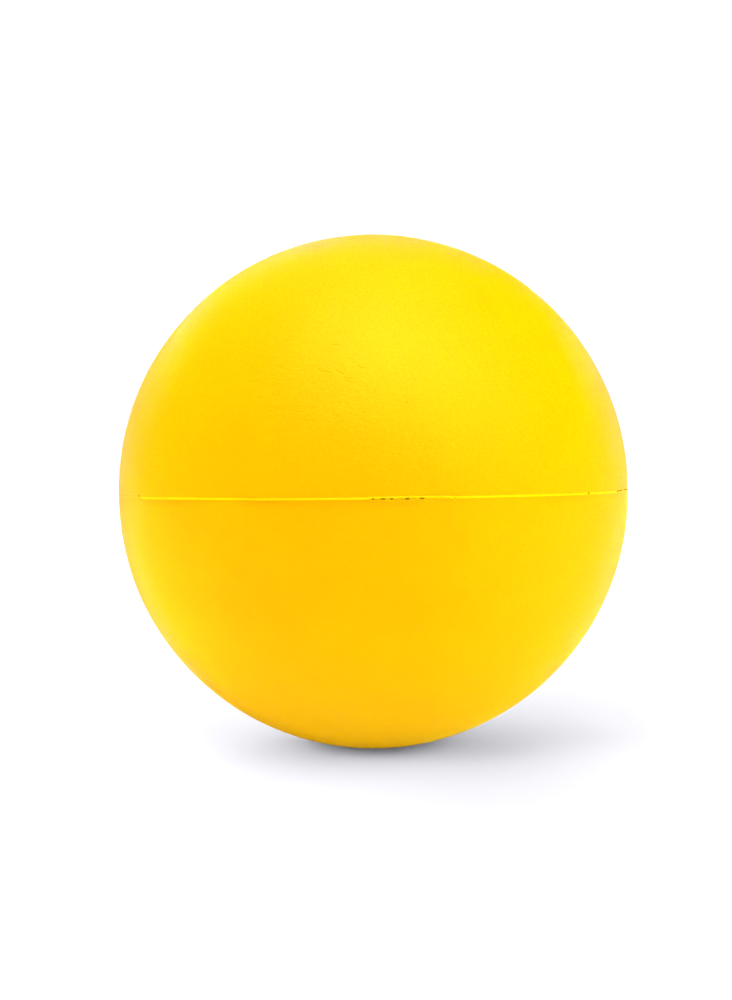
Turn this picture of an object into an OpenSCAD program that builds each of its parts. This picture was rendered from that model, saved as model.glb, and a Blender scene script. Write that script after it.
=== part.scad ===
// Squeeze ball: a soft moulded foam ball with a dense skin, cast in a two-part
// mould. The mould opens along Z and the parting line lies in the plane z = 0.

/* [Ball] */
// Diameter across the parting line
ball_d = 63; // [50:0.5:75]
// How far the parting flash holds the two mould halves apart
parting_gap = 0.6; // [0.3:0.1:1.2]

/* [Skin] */
// Thickness of the dense skin that forms against the cold mould wall
skin_t = 1; // [0.6:0.1:2]
// Space kept between the foam and the skin around it
core_clearance = 0.2; // [0.1:0.05:0.4]

/* [Parting line] */
// How far the trimmed flash stands out past the skin
flash_proud = 0.2; // [0.1:0.05:0.4]
// Radius left along the flash's two outer edges by trimming
flash_edge_r = 0.12; // [0.05:0.01:0.14]

/* [Hidden] */

$fn = 96;
ball_r = ball_d / 2;
skin_inner_r = ball_r - skin_t;
core_r = skin_inner_r - core_clearance;
half_gap = parting_gap / 2;
flash_r = ball_r + flash_proud;
skin_colour = "gold";
flash_colour = "khaki";
foam_colour = "lemonchiffon";

// Quarter disc of radius r, from the axis outwards and upwards from z = 0.
module quarter_disc(r) {
    intersection() {
        circle(r = r);
        square([r, r]);
    }
}

// One moulded half of the skin, standing open side down on z = half_gap.
module skin_half() {
    translate([0, 0, half_gap])
        rotate_extrude()
            difference() {
                quarter_disc(ball_r);
                circle(r = skin_inner_r);
            }
}

module upper_skin() {
    color(skin_colour) skin_half();
}

module lower_skin() {
    color(skin_colour) mirror([0, 0, 1]) skin_half();
}

// The web of skin that filled the gap between the mould halves, trimmed to a low bead.
module seam_flash() {
    bead_x = flash_r - flash_edge_r;
    bead_z = half_gap - flash_edge_r;
    color(flash_colour)
        rotate_extrude()
            union() {
                translate([skin_inner_r, -half_gap])
                    square([bead_x - skin_inner_r, parting_gap]);
                translate([skin_inner_r, -bead_z])
                    square([flash_r - skin_inner_r, 2 * bead_z]);
                for (side = [-1, 1])
                    translate([bead_x, side * bead_z])
                        circle(r = flash_edge_r);
            }
}

// The open-celled foam inside: two domes held apart by a short straight waist.
module foam_core() {
    color(foam_colour)
        rotate_extrude()
            union() {
                translate([0, -half_gap])
                    square([core_r, parting_gap]);
                translate([0, half_gap])
                    quarter_disc(core_r);
                mirror([0, 1])
                    translate([0, half_gap])
                        quarter_disc(core_r);
            }
}

foam_core();
lower_skin();
seam_flash();
upper_skin();
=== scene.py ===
"""A moulded foam stress ball: two skin halves, the trimmed flash between them and the foam inside.

Every length is in metres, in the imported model's frame: the origin is the ball's centre, +Z runs
along the mould axis, and azimuths are measured from -Y, which faces the camera, towards +X.
"""

import math

import bmesh
import bpy
import numpy as np
from mathutils import Matrix, Vector, noise


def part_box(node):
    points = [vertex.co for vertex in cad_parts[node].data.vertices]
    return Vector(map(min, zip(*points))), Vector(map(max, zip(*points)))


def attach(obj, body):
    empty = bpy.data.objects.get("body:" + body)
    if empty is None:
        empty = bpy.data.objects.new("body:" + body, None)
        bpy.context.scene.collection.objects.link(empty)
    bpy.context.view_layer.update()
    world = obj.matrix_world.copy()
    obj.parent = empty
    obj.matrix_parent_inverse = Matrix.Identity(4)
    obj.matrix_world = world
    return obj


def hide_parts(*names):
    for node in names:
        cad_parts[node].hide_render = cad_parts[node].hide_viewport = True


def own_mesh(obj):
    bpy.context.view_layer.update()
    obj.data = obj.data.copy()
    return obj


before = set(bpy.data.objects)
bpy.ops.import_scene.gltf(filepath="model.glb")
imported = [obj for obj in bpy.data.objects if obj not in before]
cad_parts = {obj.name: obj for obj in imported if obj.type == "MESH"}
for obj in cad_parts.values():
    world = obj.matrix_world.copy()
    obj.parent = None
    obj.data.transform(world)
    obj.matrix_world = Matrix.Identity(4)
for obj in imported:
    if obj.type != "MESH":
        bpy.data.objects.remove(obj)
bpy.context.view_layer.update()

MM = 0.001

# ---------------------------------------------------------------- sizes, from the frame
skin_low, skin_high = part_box("upper_skin")
BALL_R = skin_high.x  # radius of the skin at the seam
HALF_GAP = skin_low.z  # half the gap that the flash fills
POLE_Z = skin_high.z  # height of the top pole over the seam plane
FLASH_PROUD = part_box("seam_flash")[1].x - BALL_R
CORE_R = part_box("foam_core")[1].x
SKIN_INNER_R = BALL_R - 1.0 * MM  # the skin is 1 mm thick
REST_FLAT = 0.15 * MM  # how far the ball's weight flattens its underside
FLOOR_Z = -POLE_Z + REST_FLAT

# ---------------------------------------------------------------- the seam's wear
# Pits where trimming tore the flash, as (azimuth in degrees, length in mm, depth in mm, how far
# below the bead's crest in mm).
FRONT_PITS = [
    (0.0, 0.30, 0.14, 0.14),
    (1.8, 0.50, 0.18, 0.14),
    (2.6, 0.18, 0.10, 0.14),
    (3.4, 0.28, 0.24, 0.14),
    (5.3, 0.70, 0.10, 0.14),
    (6.3, 0.35, 0.45, 0.14),
    (7.2, 0.60, 0.09, 0.14),
    (9.1, 0.42, 0.26, 0.14),
    (15.4, 0.20, 0.10, 0.10),
    (48.6, 0.38, 0.55, 0.00),
    (51.1, 0.25, 0.10, 0.20),
    (52.2, 0.15, 0.12, -0.06),
    (64.7, 2.60, 0.16, -0.02),
    (71.4, 3.60, 0.30, -0.04),
    (-57.0, 0.35, 0.18, -0.08),
    (-64.9, 0.25, 0.16, -0.06),
    (-72.0, 5.00, 0.10, -0.08),
]
# Where each trimming cut begins, as (azimuth in degrees, lift in mm, share of the bead it leaves).
FRONT_CUTS = [
    (-84, 0.20, 0.10),
    (-55.5, 0.05, 0.55),
    (-24, 0.00, 0.50),
    (-0.8, 0.09, 0.50),
    (12, 0.05, 0.95),
    (14.5, -0.01, 0.35),
    (33, -0.02, 0.30),
    (47, 0.00, 0.25),
    (64, 0.07, 0.40),
]
BACK_FROM, BACK_TO = 85, 270  # degrees of azimuth over which more marks are scattered
BACK_PITS = 26
BACK_CUTS = 11
CUT_BLEND = math.radians(0.7)  # how gradually one cut runs into the next
rng = np.random.default_rng(63)


def seam_pits():
    """Every pit along the seam, as (azimuth, length, depth, drop below the crest)."""
    scattered = []
    for _ in range(BACK_PITS):
        place = rng.uniform(BACK_FROM, BACK_TO)
        scattered.append((place, rng.uniform(0.2, 0.8), rng.uniform(0.1, 0.36), rng.uniform(0, 0.15)))
    return [(math.radians(a), l * MM, d * MM, low * MM) for a, l, d, low in FRONT_PITS + scattered]


def seam_cuts():
    """Every trimming cut in order round the seam, as (azimuth, lift, share of the height)."""
    starts = sorted(rng.uniform(BACK_FROM, BACK_TO, BACK_CUTS))
    scattered = [(a, rng.uniform(-0.05, 0.05), rng.uniform(0.35, 0.8)) for a in starts]
    return [(math.radians(a), l * MM, h) for a, l, h in FRONT_CUTS + scattered]


PITS = seam_pits()
CUTS = seam_cuts()


def smooth_step(x):
    """0 below 0, 1 above 1, and a smooth curve between."""
    x = np.clip(x, 0.0, 1.0)
    return x * x * (3 - 2 * x)


def pit_profile(azimuth):
    """(how deep the seam is torn, how far below the crest) at each azimuth."""
    edge = 0.06 * MM  # over which a pit's end falls away
    depth, drop = np.zeros_like(azimuth), np.zeros_like(azimuth)
    for centre, length, deep, low in PITS:
        apart = BALL_R * np.abs((azimuth - centre + math.pi) % (2 * math.pi) - math.pi)
        here = deep * smooth_step((length / 2 + edge - apart) / (2 * edge))
        drop = np.where(here > depth, low, drop)
        depth = np.maximum(depth, here)
    return depth, drop


def cut_profile(azimuth):
    """(the bead's lift, its share of the full height) at each azimuth."""
    first = CUTS[0][0] - CUT_BLEND
    turned = first + (azimuth - first) % (2 * math.pi)
    lift, height = np.full_like(azimuth, CUTS[-1][1]), np.full_like(azimuth, CUTS[-1][2])
    before = CUTS[-1]
    for cut in CUTS:
        past = smooth_step((turned - cut[0]) / CUT_BLEND + 0.5)
        lift += past * (cut[1] - before[1])
        height += past * (cut[2] - before[2])
        before = cut
    return lift, height


# ---------------------------------------------------------------- mesh building
SEAM_COUNT = 2160  # points round the seam, close enough to show its pits
POLE_COUNT = 10  # points round the last ring before a pole


def ring_angles(count):
    return np.arange(count) * (2 * math.pi / count)


def ring(azimuth, radius, z):
    """Points round the axis, starting at -Y."""
    x, y = radius * np.sin(azimuth), -radius * np.cos(azimuth)
    return np.column_stack([x, y, np.broadcast_to(z, x.shape)])


def noise_at(points, size, seed):
    """Smooth noise from -1 to 1 at each point, with bumps about size across."""
    shift = Vector((seed, 2 * seed, 3 * seed))
    return np.array([noise.noise(Vector(p) / size + shift) for p in points])


def wander(azimuth, size, seed):
    """Smooth noise from -1 to 1 that runs once round the seam."""
    return noise_at(ring(azimuth, BALL_R, 0.0), size, seed)


def halved(count, latitude):
    """Fewer points round a ring as it shrinks towards the pole."""
    halvings = int(math.log2(1 / max(math.cos(latitude), 1e-3)))
    return max(count // 2**halvings, POLE_COUNT)


def stitch(a, count_a, b, count_b):
    """Faces between two rings that start at points a and b: quads if their counts match."""
    if count_a == count_b:
        ends = [(i, (i + 1) % count_a) for i in range(count_a)]
        return [(a + i, a + k, b + k, b + i) for i, k in ends]
    faces, i, j = [], 0, 0
    while i < count_a or j < count_b:
        if j >= count_b or (i < count_a and (i + 1) * count_b <= (j + 1) * count_a):
            faces.append((a + i % count_a, a + (i + 1) % count_a, b + j % count_b))
            i += 1
        else:
            faces.append((a + i % count_a, b + (j + 1) % count_b, b + j % count_b))
            j += 1
    return faces


def ring_solid(name, rings, closed):
    """A closed mesh from rings of points: a loop of rings if closed, and otherwise capped."""
    starts = np.cumsum([0] + [len(r) for r in rings]).tolist()
    faces = []
    for n in range(len(rings) - 1):
        faces += stitch(starts[n], len(rings[n]), starts[n + 1], len(rings[n + 1]))
    if closed:
        faces += stitch(starts[-2], len(rings[-1]), starts[0], len(rings[0]))
    else:
        faces += [tuple(range(starts[1])), tuple(range(starts[-2], starts[-1]))]
    mesh = bpy.data.meshes.new(name)
    mesh.from_pydata(np.vstack(rings).tolist(), [], faces)
    bm = bmesh.new()
    bm.from_mesh(mesh)
    bmesh.ops.recalc_face_normals(bm, faces=bm.faces)
    bm.to_mesh(mesh)
    bm.free()
    mesh.shade_smooth()
    obj = bpy.data.objects.new(name, mesh)
    bpy.context.scene.collection.objects.link(obj)
    return obj


# ---------------------------------------------------------------- the two skin halves
SKIN_COUNT = 640  # points round the skin near the seam
ROW_PITCH = 0.45 * MM
EDGE_ROWS = [d * MM for d in (0, 0.03, 0.07, 0.12, 0.18, 0.26)]
SHOULDER_ROWS = [d * MM for d in (0.36, 0.5, 0.7, 0.95, 1.3)]
LINING_COUNT = 160
LINING_ROWS = 30
# Pinholes in the skin, as (azimuth, latitude) in degrees and (radius, depth) in mm.
FRONT_PINHOLES = [
    (6.6, 17.9, 0.13, 0.24),
    (-1.7, 14.2, 0.12, 0.06),
    (12.2, -19.7, 0.14, 0.10),
]
# Creases in the skin, as (azimuth, latitude, tilt) in degrees and length in mm.
FRONT_CREASES = [
    (-10.5, 24.5, -30, 0.95),
    (-9.1, 24.3, -16, 0.90),
    (-6.7, 24.2, -30, 1.10),
    (-4.9, 22.9, -10, 0.90),
    (-5.1, 22.4, -17, 0.80),
    (-8.0, 30.2, -5, 1.50),
    (-2.3, 25.2, -18, 1.10),
    (8.5, 22.5, -50, 0.35),
]
PINHOLES_A_HALF = 8  # scattered over the back of each half
CREASES_A_HALF = 8
CREASE_WIDTH = 0.065 * MM
CREASE_DEPTH = 0.075 * MM
WAVE_SIZE, WAVE_HEIGHT = 13 * MM, 0.030 * MM  # slow unevenness of the whole skin
RIPPLE_SIZE, RIPPLE_HEIGHT = 1.3 * MM, 0.004 * MM  # finer unevenness
LIP_DROP, LIP_REACH = 0.012 * MM, 0.04 * MM  # how far the skin turns in at the seam, and over what


def outer_rows():
    """(distance up the skin from the seam, points round) of each ring of the outer skin."""
    rows = [(d, SEAM_COUNT) for d in EDGE_ROWS] + [(d, SKIN_COUNT) for d in SHOULDER_ROWS]
    quarter = BALL_R * math.pi / 2
    rest = np.arange(SHOULDER_ROWS[-1] + ROW_PITCH, quarter - ROW_PITCH / 2, ROW_PITCH)
    return rows + [(d, halved(SKIN_COUNT, d / BALL_R)) for d in rest]


def outer_ring(up, count, side):
    """One ring of the outer skin, with its unevenness and the shoulder that it turns in by."""
    azimuth, latitude = ring_angles(count), up / BALL_R
    z = side * (HALF_GAP + BALL_R * math.sin(latitude))
    smooth = ring(azimuth, BALL_R * math.cos(latitude), z)
    relief = WAVE_HEIGHT * noise_at(smooth, WAVE_SIZE, 1.3)
    relief += RIPPLE_HEIGHT * noise_at(smooth, RIPPLE_SIZE, 4.1)
    lip = 1 + 0.35 * wander(azimuth, 5 * MM, 2.0 * side)
    relief -= LIP_DROP * lip * math.exp(-up / LIP_REACH)
    outwards = smooth / np.linalg.norm(smooth, axis=1)[:, None]
    return smooth + relief[:, None] * outwards


def lining_ring(step, side):
    """One ring of the skin's inner side, counted from the seam to the pole."""
    latitude = math.pi / 2 * step / LINING_ROWS
    z = side * (HALF_GAP + SKIN_INNER_R * math.sin(latitude))
    azimuth = ring_angles(halved(LINING_COUNT, latitude))
    return ring(azimuth, SKIN_INNER_R * math.cos(latitude), z)


def settled(points):
    """Flattens what would reach below the surface that the ball lies on."""
    soft = 0.03 * MM  # rounds the edge of the flat
    points[:, 2] = FLOOR_Z + soft * np.logaddexp(0, (points[:, 2] - FLOOR_Z) / soft)
    return points


def on_skin(azimuth, latitude):
    """The point of the skin at that azimuth and latitude, in degrees."""
    a, b = math.radians(azimuth), math.radians(latitude)
    return ring(np.array([a]), BALL_R * math.cos(b), BALL_R * math.sin(b))[0]


def scattered_places(count, side):
    """That many places on the back of one half, as (azimuth, latitude)."""
    sines = rng.uniform(0.08, 0.98, count)
    return zip(rng.uniform(BACK_FROM, BACK_TO, count), side * np.degrees(np.arcsin(sines)))


def pinholes(side):
    """The pinholes of one half, as (where, reach, a function from points to how far they go in)."""
    holes = [h for h in FRONT_PINHOLES if h[1] * side > 0]
    for azimuth, latitude in scattered_places(PINHOLES_A_HALF, side):
        size = rng.uniform(0.09, 0.16)
        holes.append((azimuth, latitude, size, size * rng.uniform(0.4, 1.1)))
    for azimuth, latitude, radius, depth in holes:
        where = on_skin(azimuth, latitude)

        def sink(points, where=where, radius=radius * MM, depth=depth * MM):
            return depth * smooth_step(1.3 - np.linalg.norm(points - where, axis=1) / radius)

        yield where, 3 * radius * MM, sink


def creases(side):
    """The short, curved creases of one half, in the same form."""
    lines = [c for c in FRONT_CREASES if c[1] * side > 0]
    for azimuth, latitude in scattered_places(CREASES_A_HALF, side):
        lines.append((azimuth, latitude, rng.uniform(-40, 40), rng.uniform(0.5, 1.1)))
    for azimuth, latitude, tilt, length in lines:
        where = on_skin(azimuth, latitude)
        east = np.array([-where[1], where[0], 0]) / math.hypot(where[0], where[1])
        north = np.cross(where / np.linalg.norm(where), east)
        t = math.radians(tilt)
        along = math.cos(t) * east + math.sin(t) * north
        across = math.cos(t) * north - math.sin(t) * east

        def sink(points, where=where, along=along, across=across, half=length * MM / 2):
            u = (points - where) @ along / half
            v = (points - where) @ across - 0.15 * half * u**2
            ends = smooth_step(2 * (1.1 - np.abs(u)))
            return CREASE_DEPTH * ends * np.exp(-((v / CREASE_WIDTH) ** 2))

        yield where, length * MM / 2 + 0.2 * MM, sink


def press_in(obj, marks):
    """Makes the mesh finer round each mark and pushes the mark in."""
    bm = bmesh.new()
    bm.from_mesh(obj.data)
    faces = list(bm.faces)
    centres = np.array([f.calc_center_median() for f in faces])
    edges = set()
    for where, reach, _ in marks:
        for n in np.flatnonzero(np.linalg.norm(centres - where, axis=1) < reach):
            edges.update(faces[n].edges)
    bmesh.ops.subdivide_edges(bm, edges=list(edges), cuts=5, use_grid_fill=True)
    verts = list(bm.verts)
    points = np.array([v.co for v in verts])
    for where, reach, sink in marks:
        near_by = np.flatnonzero(np.linalg.norm(points - where, axis=1) < reach)
        depths = sink(points[near_by])
        for n, depth in zip(near_by.tolist(), depths.tolist()):
            verts[n].co *= 1 - depth / BALL_R
    bm.to_mesh(obj.data)
    bm.free()
    obj.data.shade_smooth()


def skin_half(name, side):
    """One half of the skin: its outside from the pole to the seam, then its lining back."""
    rings = [outer_ring(up, count, side) for up, count in reversed(outer_rows())]
    rings += [lining_ring(step, side) for step in range(LINING_ROWS)]
    if side < 0:
        rings = [settled(r) for r in rings]
    obj = ring_solid(name, rings, closed=False)
    press_in(obj, [*pinholes(side), *creases(side)])
    return obj


# ---------------------------------------------------------------- the flash
FLASH_ROWS = 29  # rows over the flash's outer face
WEB_HALF = HALF_GAP - 0.003 * MM  # leaves air between the web and the skins
CORNER_R = 0.012 * MM
BEAD_HALF = 0.11 * MM
TEAR_HALF = 0.07 * MM  # half of a tear's height
WEB_MIDDLE_R = BALL_R - 0.6 * MM  # where the fine rows of the outer face end and the web goes on
BEAD_WOBBLE = 0.08  # how far the bead's size wanders, as a share
LOWEST_BEAD = 0.2  # share of the full height below which no bead can be told from the skin
DEEP_TEAR = 0.12 * MM  # deeper tears show bare foam, darkened as painted shade


def flash_face(z, lift, half, proud, torn, drop):
    """Radii of one row of the flash's outer face: rounded corners, a trimmed bead and its tears."""
    past_corner = max(0.0, (abs(z) - WEB_HALF + CORNER_R) / CORNER_R)
    sunk = CORNER_R * (1 - math.sqrt(max(0.0, 1 - past_corner**2)))
    off_crest = np.abs(z - lift) / half
    bead = proud * (1 - np.minimum(off_crest, 1.0) ** 3) ** 0.6
    edge = 0.04 * MM  # over which a tear's upper and lower side fall away
    tear = torn * smooth_step((TEAR_HALF + edge / 2 - np.abs(lift - z - drop)) / edge)
    return BALL_R - sunk + bead - tear


def flash_rings():
    """The flash's rings in a loop: from its inner top edge, over its outer face, to its inner bottom."""
    azimuth = ring_angles(SEAM_COUNT)
    lift, height = cut_profile(azimuth)
    proud = FLASH_PROUD * (height - BEAD_WOBBLE + BEAD_WOBBLE * wander(azimuth, 1.1 * MM, 7.7))
    half = BEAD_HALF * (0.6 + 0.7 * height + BEAD_WOBBLE * wander(azimuth, 2.6 * MM, 5.2))
    depth, drop = pit_profile(azimuth)
    torn = depth * (0.8 + 0.2 * wander(azimuth, 0.3 * MM, 9.1))
    inner = np.full_like(azimuth, SKIN_INNER_R)
    middle = np.full_like(azimuth, WEB_MIDDLE_R)
    yield ring(azimuth, inner, WEB_HALF)
    yield ring(azimuth, middle, WEB_HALF)
    for z in np.linspace(WEB_HALF, -WEB_HALF, FLASH_ROWS):
        yield ring(azimuth, flash_face(z, lift, half, proud, torn, drop), z)
    yield ring(azimuth, middle, -WEB_HALF)
    yield ring(azimuth, inner, -WEB_HALF)


def flash_bead(name):
    """The flash. Its faces take material 0 on the bead, a lighter yellow that partly paints its
    highlight; 1 in the deep tears, darkened as painted shade; and 2 elsewhere.
    """
    obj = ring_solid(name, list(flash_rings()), closed=True)
    centres = np.array([face.center for face in obj.data.polygons])
    azimuth = np.arctan2(centres[:, 0], -centres[:, 1])
    lift, height = cut_profile(azimuth)
    depth, drop = pit_profile(azimuth)
    below = lift - centres[:, 2]
    in_tear = (depth > 0) & (np.abs(below - drop) < TEAR_HALF + 0.02 * MM)
    sunk = np.hypot(centres[:, 0], centres[:, 1]) < BALL_R - 0.02 * MM
    lower_edge = np.where(depth > 0, drop + TEAR_HALF + 0.09 * MM, BEAD_HALF)
    on_bead = (height > LOWEST_BEAD) & (below > -BEAD_HALF) & (below < lower_edge)
    material = np.where(on_bead, 0, 2)
    material[in_tear] = 2
    material[in_tear & sunk & (depth > DEEP_TEAR)] = 1
    obj.data.polygons.foreach_set("material_index", material)
    return obj


# ---------------------------------------------------------------- the foam inside
CORE_COUNT = 400
CORE_PITCH = 0.48 * MM
CELL_SIZE = 1.5 * MM
CELL_DEPTH = 0.35 * MM


def core_ring(latitude):
    """One ring of the foam, pitted by the open cells at its surface."""
    azimuth = ring_angles(halved(CORE_COUNT, latitude))
    z = math.copysign(HALF_GAP, latitude) + CORE_R * math.sin(latitude)
    smooth = ring(azimuth, CORE_R * math.cos(latitude), z)
    near = np.array([noise.voronoi(Vector(p) / CELL_SIZE)[0][:2] for p in smooth])
    wall = smooth_step((near[:, 1] - near[:, 0]) / 0.35)
    outwards = smooth / np.linalg.norm(smooth, axis=1)[:, None]
    return smooth - (CELL_DEPTH * wall)[:, None] * outwards


def foam_ball(name):
    """The foam core, as rings from pole to pole."""
    rows = round(math.pi * CORE_R / CORE_PITCH)
    latitudes = (np.arange(rows) + 0.5) / rows * math.pi - math.pi / 2
    return ring_solid(name, [core_ring(b) for b in latitudes], closed=False)


# ---------------------------------------------------------------- materials
def new_material(name):
    """(the material, its node tree, its shader)"""
    material = bpy.data.materials.new(name)
    material.use_nodes = True
    tree = material.node_tree
    return material, tree, tree.nodes["Principled BSDF"]


def add(tree, kind, **values):
    """A node, with its input sockets set by name."""
    node = tree.nodes.new(kind)
    for key, value in values.items():
        node.inputs[key.replace("_", " ")].default_value = value
    return node


def coordinates(tree, flatten=1.0):
    """The ball's own coordinates, with what is drawn on them flattened along Z by that much."""
    place = tree.nodes.new("ShaderNodeTexCoord")
    node = add(tree, "ShaderNodeMapping", Scale=(1, 1, flatten))
    tree.links.new(place.outputs["Object"], node.inputs["Vector"])
    return node.outputs["Vector"]


def speckle(tree, size, detail=2.0, flatten=1.0):
    """Noise from 0 to 1 with features about size across."""
    node = add(tree, "ShaderNodeTexNoise", Scale=1 / size, Detail=detail)
    tree.links.new(coordinates(tree, flatten), node.inputs["Vector"])
    return node.outputs["Fac"]


def remap(tree, value, low, high, to_low, to_high):
    """value's stretch from low to high, as to_low to to_high."""
    node = add(tree, "ShaderNodeMapRange", From_Min=low, From_Max=high, To_Min=to_low, To_Max=to_high)
    tree.links.new(value, node.inputs["Value"])
    return node.outputs["Result"]


def blend_colours(tree, share, first, second):
    """first where share is 0 and second where it is 1. Each is a colour or a socket."""
    node = tree.nodes.new("ShaderNodeMix")
    node.data_type = "RGBA"
    tree.links.new(share, node.inputs["Factor"])
    for key, colour in (("A", first), ("B", second)):
        socket = next(s for s in node.inputs if s.name == key and s.type == "RGBA")
        if isinstance(colour, tuple):
            socket.default_value = (*colour, 1.0)
        else:
            tree.links.new(colour, socket)
    return next(s for s in node.outputs if s.type == "RGBA")


def multiply(tree, first, second):
    node = tree.nodes.new("ShaderNodeMath")
    node.operation = "MULTIPLY"
    tree.links.new(first, node.inputs[0])
    tree.links.new(second, node.inputs[1])
    return node.outputs["Value"]


def near(tree, azimuth, latitude, reach):
    """1 at a place on the ball, in degrees, falling to 0 at that distance from it."""
    node = tree.nodes.new("ShaderNodeVectorMath")
    node.operation = "DISTANCE"
    tree.links.new(coordinates(tree), node.inputs[0])
    node.inputs[1].default_value = on_skin(azimuth, latitude)
    return remap(tree, node.outputs["Value"], 0.4 * reach, reach, 1.0, 0.0)


def level_band(tree, low, high):
    """1 between two heights, falling to 0 just outside them."""
    split = tree.nodes.new("ShaderNodeSeparateXYZ")
    tree.links.new(coordinates(tree), split.inputs["Vector"])
    over = remap(tree, split.outputs["Z"], low - 0.3 * MM, low, 0.0, 1.0)
    under = remap(tree, split.outputs["Z"], high, high + 0.3 * MM, 1.0, 0.0)
    return multiply(tree, over, under)


def bump(tree, height, distance, under=None):
    """Bump of that many metres, over an earlier bump if there is one."""
    node = add(tree, "ShaderNodeBump", Strength=1.0, Distance=distance)
    tree.links.new(height, node.inputs["Height"])
    if under is not None:
        tree.links.new(under, node.inputs["Normal"])
    return node.outputs["Normal"]


def moulded_skin(name, warm, fresh, roughness):
    """Satin polyurethane skin: leathery grain, a slightly mottled colour, flecks of painted light,
    scuffs below the seam and painted shade in a band just below it.
    """
    material, tree, shader = new_material(name)
    mottle = remap(tree, speckle(tree, 5 * MM, 3.0), 0.35, 0.65, 0.0, 1.0)
    base = blend_colours(tree, mottle, warm, fresh)
    darker = (warm[0], 0.86 * warm[1], 0.0)
    lighter = (warm[0], 1.14 * warm[1], 0.0)
    # Dark and light flecks, weak round the lower left front and strong elsewhere: painted light,
    # standing in for grain and sheen that show only where the light falls brightly.
    spots = remap(tree, speckle(tree, 0.22 * MM, 1.0, 1.5), 0.3, 0.7, 0.0, 1.0)
    lit_fleck_share = remap(tree, near(tree, -20, -30, 1.2 * BALL_R), 0.0, 1.0, 0.62, 0.06)
    base = blend_colours(tree, lit_fleck_share, base, blend_colours(tree, spots, darker, lighter))
    # Painted shade under the bead: a band just below the seam, darker in patches.
    shade_under_bead = remap(tree, speckle(tree, 9 * MM, 0.0), 0.45, 0.6, 0.0, 0.5)
    shade_under_bead = multiply(tree, shade_under_bead, level_band(tree, -0.7 * MM, -0.35 * MM))
    tree.links.new(blend_colours(tree, shade_under_bead, base, darker), shader.inputs["Base Color"])
    matt = remap(tree, speckle(tree, 0.8 * MM), 0.3, 0.7, roughness - 0.05, roughness + 0.05)
    tree.links.new(matt, shader.inputs["Roughness"])
    shader.inputs["IOR"].default_value = 1.1  # this and the tint keep the pale rim narrow
    shader.inputs["Specular Tint"].default_value = (3.6, 3.6, 0.5, 1.0)
    peel = bump(tree, speckle(tree, 0.9 * MM, 2.0, 1.4), 0.045 * MM)
    grain = bump(tree, speckle(tree, 0.30 * MM, 2.0, 1.6), 0.048 * MM, peel)
    scuff = multiply(tree, level_band(tree, -1.1 * MM, -0.3 * MM), near(tree, 5, -1, 3.6 * MM))
    scuff = multiply(tree, scuff, speckle(tree, 0.22 * MM, 0.0))
    tree.links.new(bump(tree, scuff, 0.05 * MM, grain), shader.inputs["Normal"])
    return material


def bare_foam(name, colour, dark):
    """Open-celled foam, darker towards the middle of each cell: painted shade in the cell hollows."""
    material, tree, shader = new_material(name)
    cells = add(tree, "ShaderNodeTexVoronoi", Scale=1 / (0.45 * MM))
    place = tree.nodes.new("ShaderNodeTexCoord")
    tree.links.new(place.outputs["Object"], cells.inputs["Vector"])
    depth = remap(tree, cells.outputs["Distance"], 0.1, 0.6, 1.0, 0.0)
    tree.links.new(blend_colours(tree, depth, colour, dark), shader.inputs["Base Color"])
    tree.links.new(bump(tree, cells.outputs["Distance"], 0.15 * MM), shader.inputs["Normal"])
    shader.inputs["Roughness"].default_value = 0.9
    shader.inputs["Specular IOR Level"].default_value = 0.0
    return material


# ---------------------------------------------------------------- the pieces
skin_material = moulded_skin("skin_satin", (0.99, 0.495, 0.0), (0.99, 0.515, 0.0), 0.40)
# A lighter yellow than the skin, on the bead only: partly the flash's own tone and partly a painted
# highlight along the bead.
flash_tone_and_highlight = moulded_skin("flash_satin", (0.99, 0.70, 0.0), (0.99, 0.80, 0.0), 0.40)
# Much darker than the foam inside: painted shade in the deep tears.
shaded_tear_material = bare_foam("torn_foam_shaded", (0.55, 0.17, 0.0), (0.30, 0.08, 0.0))
foam_material = bare_foam("open_foam", (0.93, 0.72, 0.25), (0.70, 0.45, 0.10))


def fit_piece(obj, node, slot, body, anchor_z, *materials):
    """Puts a finished mesh in the frame: its materials and its body, and hides the CAD part it stands
    for.
    """
    for material in materials:
        obj.data.materials.append(material)
    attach(obj, body)
    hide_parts(node)
    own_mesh(obj)
    return obj


upper = skin_half("upper_skin_detail", 1)
lower = skin_half("lower_skin_detail", -1)
flash = flash_bead("seam_flash_detail")
core = foam_ball("foam_core_detail")
fit_piece(upper, "upper_skin", "skin", "upper_half", POLE_Z, skin_material)
fit_piece(lower, "lower_skin", "skin", "lower_half", -POLE_Z, skin_material)
fit_piece(flash, "seam_flash", "flash", "waist", 0.0, flash_tone_and_highlight, shaded_tear_material, skin_material)
fit_piece(core, "foam_core", "foam", "lower_half", -POLE_Z, foam_material)

# ---------------------------------------------------------------- floor
FLOOR_HALF = 3.0


def white_floor():
    mesh = bpy.data.meshes.new("floor")
    ends = (-FLOOR_HALF, FLOOR_HALF)
    corners = [(x, y, FLOOR_Z) for x in ends for y in ends]
    mesh.from_pydata(corners, [], [(0, 2, 3, 1)])
    obj = bpy.data.objects.new("floor", mesh)
    bpy.context.scene.collection.objects.link(obj)
    material, _, shader = new_material("white_sweep")
    shader.inputs["Base Color"].default_value = (0.93, 0.93, 0.98, 1.0)
    shader.inputs["Roughness"].default_value = 1.0
    shader.inputs["Specular IOR Level"].default_value = 0.0
    mesh.materials.append(material)
    return obj


floor = white_floor()
floor.visible_glossy = False  # keeps the floor's shadow out of the skin's sheen

# ---------------------------------------------------------------- light
LAMP_SPREAD = 50  # degrees across each lamp's soft box
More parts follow.
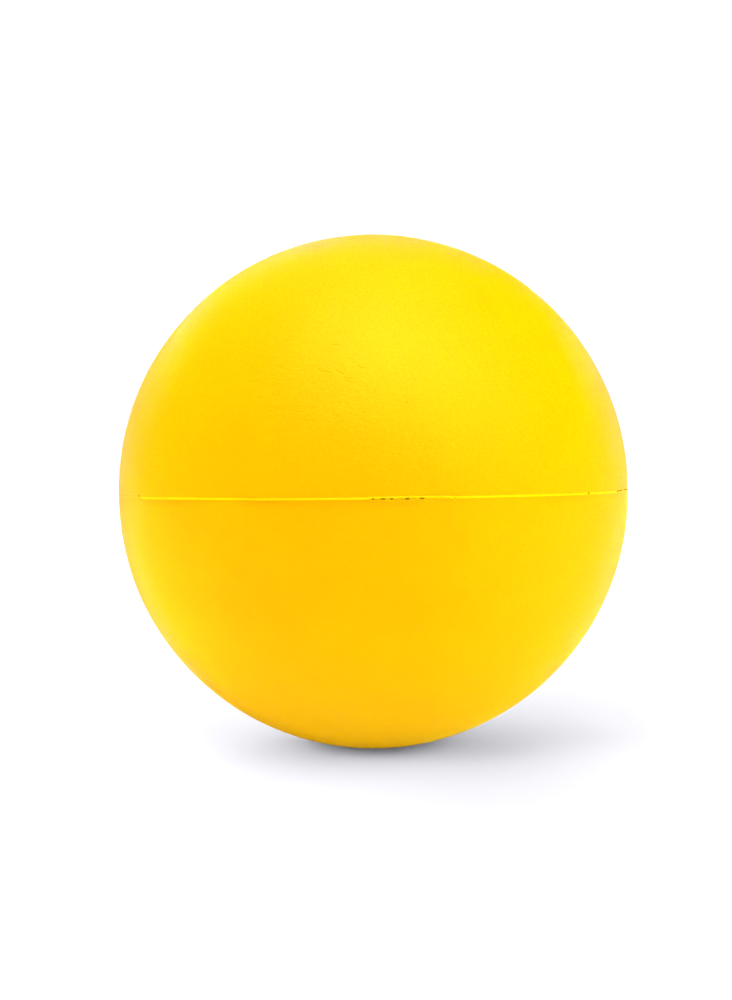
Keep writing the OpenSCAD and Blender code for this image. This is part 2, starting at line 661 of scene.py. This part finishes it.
# Each lamp as (azimuth, elevation, strength). The floor has lamps of its own, which shape the shadow.
FLOOR_LAMPS = [
    (315, 10, 4.6),
    (45, 10, 3.0),
    (90, 10, 2.9),
    (180, 10, 2.9),
    (225, 10, 1.9),
    (270, 10, 1.6),
    (0, 10, 1.2),
    (225, 40, 0.55),
    (315, 40, 0.45),
    (180, 40, 0.4),
    (0, 66, 0.3),
]
# The ball's lamps light nothing else. One set gives only its colour and the other only its sheen.
COLOUR_LAMPS = [
    (0, 90, 3.4),
    (90, 10, 1.5),
    (45, 10, 1.3),
    (270, 10, 1.1),
    (180, 10, 0.8),
    (270, 38, 0.7),
]
SHEEN_LAMPS = [  # with the share of blue in each lamp's light
    (0, 62, 13.5, 0.55),
    (45, 38, 9.0, 0.35),
    (240, -20, 3.6, 0.0),
    (180, 75, 2.6, 0.15),
    (225, 38, 1.5, 0.1),
    (150, -20, 1.2, 0.05),
    (210, 0, 0.6, 1.0),
    (180, 20, 0.6, 1.1),
    (150, 0, 0.2, 3.0),
]


def white_world():
    """White behind the object, without lighting it. Above 1, so that it is pure white all over."""
    world = bpy.data.worlds.new("studio")
    bpy.context.scene.world = world
    world.use_nodes = True
    world.node_tree.nodes["Background"].inputs["Color"].default_value = (1.1, 1.1, 1.1, 1)
    world.cycles_visibility.diffuse = False
    world.cycles_visibility.glossy = False


def light_up(lit, lamps, colour=True, sheen=True, shade=None):
    """Broad lamps that light only the collection lit, in its colour, its sheen or both.

    The collection shade casts their shadows, and everything does if there is none. A lamp's fourth
    number is its share of blue.
    """
    for azimuth, elevation, strength, *blue in lamps:
        name = f"{lit.name}_{azimuth}_{elevation}"
        light = bpy.data.lights.new(name, "SUN")
        light.color = (1.0, 1.0, blue[0] if blue else 1.0)
        light.energy = strength
        light.angle = math.radians(LAMP_SPREAD)
        # Rays that bounce off the floor pass through the ball, so they mustn't find the lamps.
        light.cycles.use_multiple_importance_sampling = False
        obj = bpy.data.objects.new(name, light)
        a, e = math.radians(azimuth), math.radians(elevation)
        towards = Vector((math.sin(a) * math.cos(e), -math.cos(a) * math.cos(e), math.sin(e)))
        obj.rotation_mode = "QUATERNION"
        obj.rotation_quaternion = towards.to_track_quat("Z", "Y")
        obj.light_linking.receiver_collection = lit
        obj.light_linking.blocker_collection = shade
        obj.visible_diffuse = colour
        obj.visible_glossy = sheen
        bpy.context.scene.collection.objects.link(obj)


def group(name, *objects):
    collection = bpy.data.collections.new(name)
    for obj in objects:
        collection.objects.link(obj)
    return collection


white_world()
light_up(group("floor_only", floor), FLOOR_LAMPS)
ball_only = group("ball_only", upper, lower, flash, core)
light_up(ball_only, COLOUR_LAMPS, sheen=False, shade=ball_only)
light_up(ball_only, SHEEN_LAMPS, colour=False, shade=ball_only)
for piece in (upper, lower, flash, core):
    piece.visible_diffuse = False  # keeps the floor's shadow neutral

# ---------------------------------------------------------------- camera
SENSOR = 36.0
BALL_SHARE = 0.2544  # the ball's radius over the frame's height
CAMERA_DISTANCE = 5 * BALL_R
CAMERA_RISE = math.radians(1.25)
CAMERA_ROLL = math.radians(0.70)
AIM_RIGHT, AIM_UP = 0.0070, 0.0082  # how far right of and above the frame's middle the ball lies


def product_camera():
    data = bpy.data.cameras.new("camera")
    data.sensor_width = SENSOR
    limb = BALL_R / math.sqrt(CAMERA_DISTANCE**2 - BALL_R**2)
    data.lens = SENSOR * BALL_SHARE / limb
    data.clip_start, data.clip_end = 0.01, 20
    obj = bpy.data.objects.new("camera", data)
    bpy.context.scene.collection.objects.link(obj)
    back = Vector((0, -math.cos(CAMERA_RISE), math.sin(CAMERA_RISE)))
    turn = (-back).to_track_quat("-Z", "Y").to_matrix()
    ahead = data.lens / SENSOR
    off_axis = Matrix.Rotation(math.atan(AIM_RIGHT / ahead), 3, "Y")
    off_axis = off_axis @ Matrix.Rotation(-math.atan(AIM_UP / ahead), 3, "X")
    turn = turn @ Matrix.Rotation(-CAMERA_ROLL, 3, "Z") @ off_axis
    obj.matrix_world = Matrix.Translation(back * CAMERA_DISTANCE) @ turn.to_4x4()
    bpy.context.scene.camera = obj


product_camera()
bpy.context.scene.view_settings.view_transform = "Standard"
